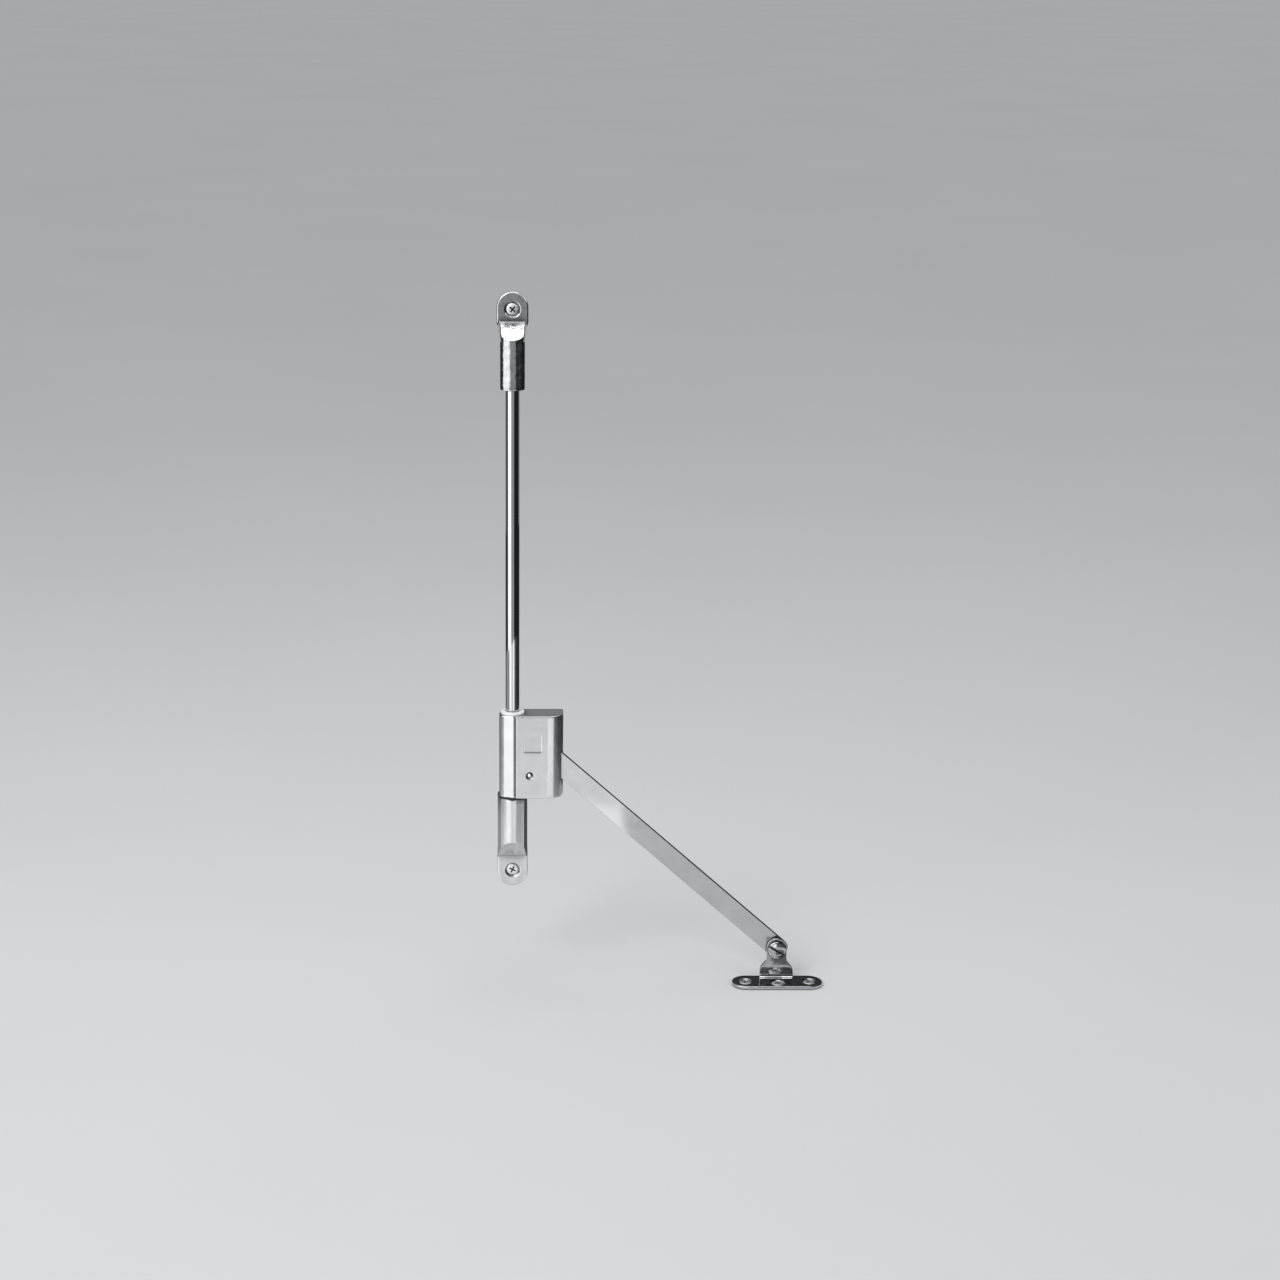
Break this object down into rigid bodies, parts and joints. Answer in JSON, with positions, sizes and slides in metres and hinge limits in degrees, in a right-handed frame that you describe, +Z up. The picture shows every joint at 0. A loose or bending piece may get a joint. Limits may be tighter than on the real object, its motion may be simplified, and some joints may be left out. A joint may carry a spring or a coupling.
{
  "type": "flap stay with sliding brake housing",
  "caption": "Cabinet flap stay: a braked housing slides on an upright guide rod between wall brackets, and a flat arm joins it to a foot plate that screws to the flap.",
  "frame": {"origin": "on the wall plane, midway between the screws of the two wall brackets", "axes": "+Z up along the guide rod, +Y into the wall that the brackets are screwed to, +X towards the foot plate on the flap; stored with the flap open and the housing at the bottom of the rod"},
  "size_m": [0.194, 0.0472, 0.4242],
  "materials": {
    "nickel_plated_casting": "polished nickel plate on a zinc casting",
    "satin_casting": "satin silver zinc casting with a fine grain",
    "zinc_plated_sheet": "plain zinc plate",
    "zinc_plated_steel": "bright zinc plate",
    "chromed_rod": "polished chrome plate",
    "polished_strip": "bright nickel plate on cold-rolled strip",
    "nickel_plated_sheet": "bright nickel plate on pressed steel",
    "nickel_plated_steel": "bright nickel plate on turned steel",
    "spring_steel": "blued spring strip",
    "black_rubber": "matt black rubber",
    "white_plastic": "white moulded acetal",
    "brake_plastic": "dark grey moulded plastic"
  },
  "bodies": {
    "root": {"top_bracket": "nickel_plated_casting", "lower_bracket": "satin_casting", "bracket_screws": "zinc_plated_steel", "stop_buffer": "black_rubber"},
    "rod": {"guide_rod": "chromed_rod"},
    "housing": {"housing_body": "satin_casting", "housing_back_cover": "zinc_plated_sheet", "cover_rivets": "zinc_plated_steel", "upper_guide_bush": "white_plastic", "lower_guide_bush": "white_plastic", "arm_pivot_pin": "zinc_plated_steel", "arm_front_washer": "white_plastic", "arm_spacer": "zinc_plated_steel", "brake_pin": "zinc_plated_steel", "brake_shoe": "brake_plastic", "brake_spring": "spring_steel"},
    "cam": {"brake_cam": "zinc_plated_steel"},
    "arm": {"strap_arm": "polished_strip", "foot_pivot_screw": "nickel_plated_steel", "foot_pivot_washer": "zinc_plated_steel", "foot_pivot_nut": "zinc_plated_steel"},
    "foot": {"foot_bracket": "nickel_plated_sheet", "foot_screws": "zinc_plated_steel"}
  },
  "joints": [
    {"name": "rod_turn", "type": "hinge", "parent": "root", "child": "rod", "pos_m": [0, -0.009, 0], "axis": [0, 0, 1], "range_deg": [-90, 0]},
    {"name": "housing_slide", "type": "slide", "parent": "rod", "child": "housing", "axis": [0, 0, 1], "range_m": [0, 0.188]},
    {"name": "brake_cam_turn", "type": "hinge", "parent": "housing", "child": "cam", "pos_m": [0.01005, -0.009, -0.1038], "axis": [0, 1, 0], "range_deg": [0, 8], "stiffness_Nm_per_rad": 0.02},
    {"name": "arm_turn", "type": "hinge", "parent": "housing", "child": "arm", "pos_m": [0.018, -0.0115, -0.0892], "axis": [0, 1, 0], "range_deg": [-8, 48]},
    {"name": "foot_turn", "type": "hinge", "parent": "arm", "child": "foot", "pos_m": [0.158, -0.0143, -0.214], "axis": [0, -1, 0], "range_deg": [-8, 138]}
  ]
}
